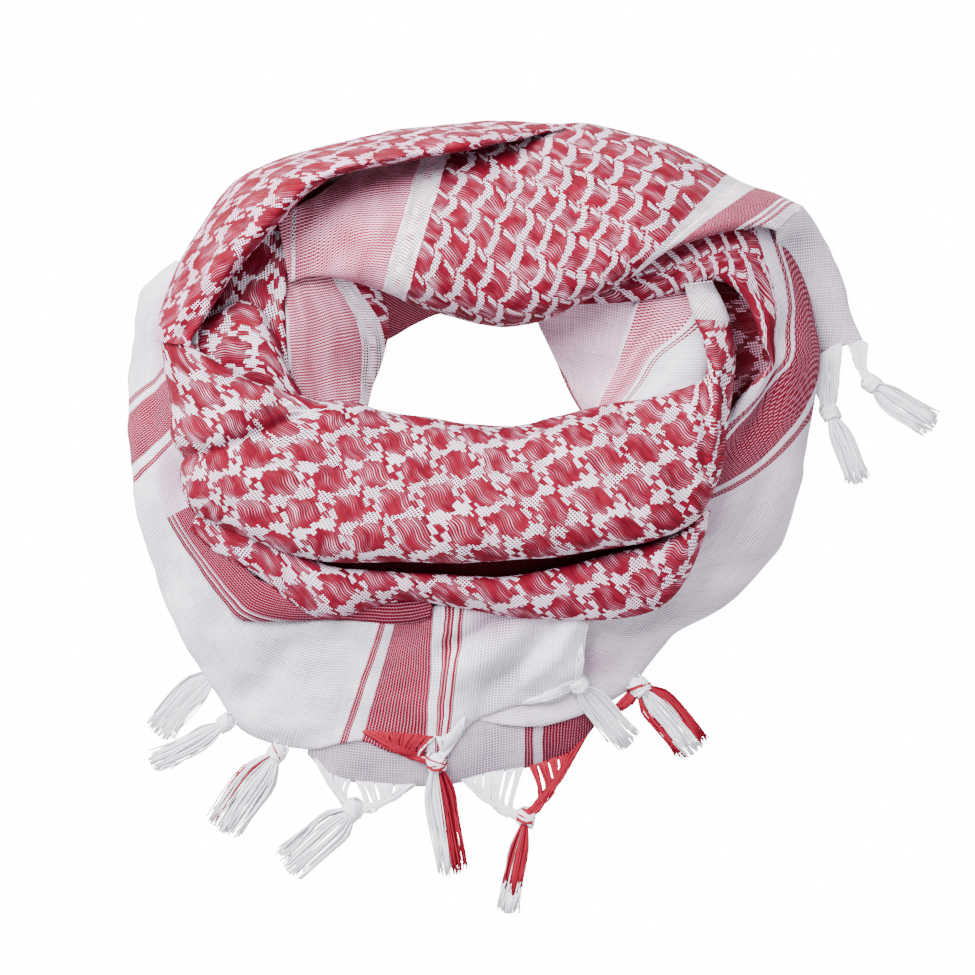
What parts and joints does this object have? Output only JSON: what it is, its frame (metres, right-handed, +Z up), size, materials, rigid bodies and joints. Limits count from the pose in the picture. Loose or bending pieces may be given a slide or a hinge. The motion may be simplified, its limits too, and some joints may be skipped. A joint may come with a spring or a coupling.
{
  "type": "keffiyeh headscarf garment",
  "caption": "Square red and white keffiyeh headscarf garment, wound into an open loop and laid flat, with knotted tassels round its front edge.",
  "frame": {"origin": "centre of the bounding box, on the surface that the loop lies on", "axes": "+Z up from the surface, -Y towards the front of the loop, where the tassels are, +X to the right"},
  "size_m": [0.4082, 0.3982, 0.0827],
  "materials": {
    "figured_cloth": "matt cotton gauze with long red figures on white",
    "striped_cloth": "matt cotton gauze with fine red stripes",
    "white_cloth": "matt white cotton gauze with red border stripes",
    "tassel_white": "loose white cotton threads",
    "tassel_red": "loose red and white cotton threads"
  },
  "bodies": {
    "root": {"front_band": "figured_cloth", "lower_roll": "figured_cloth", "left_roll": "figured_cloth", "left_puff": "figured_cloth", "left_inner_fold": "figured_cloth", "pocket_lining": "figured_cloth", "tucked_end": "figured_cloth", "back_inner_wall": "figured_cloth", "back_band": "figured_cloth", "inner_stripe_fold": "striped_cloth", "right_inner_stripe": "striped_cloth", "red_tuck": "striped_cloth", "hidden_layers": "white_cloth", "right_drape": "white_cloth", "outer_drape": "white_cloth", "right_tail": "white_cloth", "under_flap": "white_cloth", "right_inner_white": "white_cloth", "tassel_left_1": "tassel_white", "tassel_left_2": "tassel_white", "tassel_left_3": "tassel_white", "tassel_front_4": "tassel_white", "tassel_front_7": "tassel_white", "tassel_tail_9": "tassel_white", "tassel_tail_10": "tassel_white", "tassel_front_5": "tassel_red", "tassel_front_6": "tassel_red", "tassel_right_8": "tassel_red"}
  },
  "joints": []
}
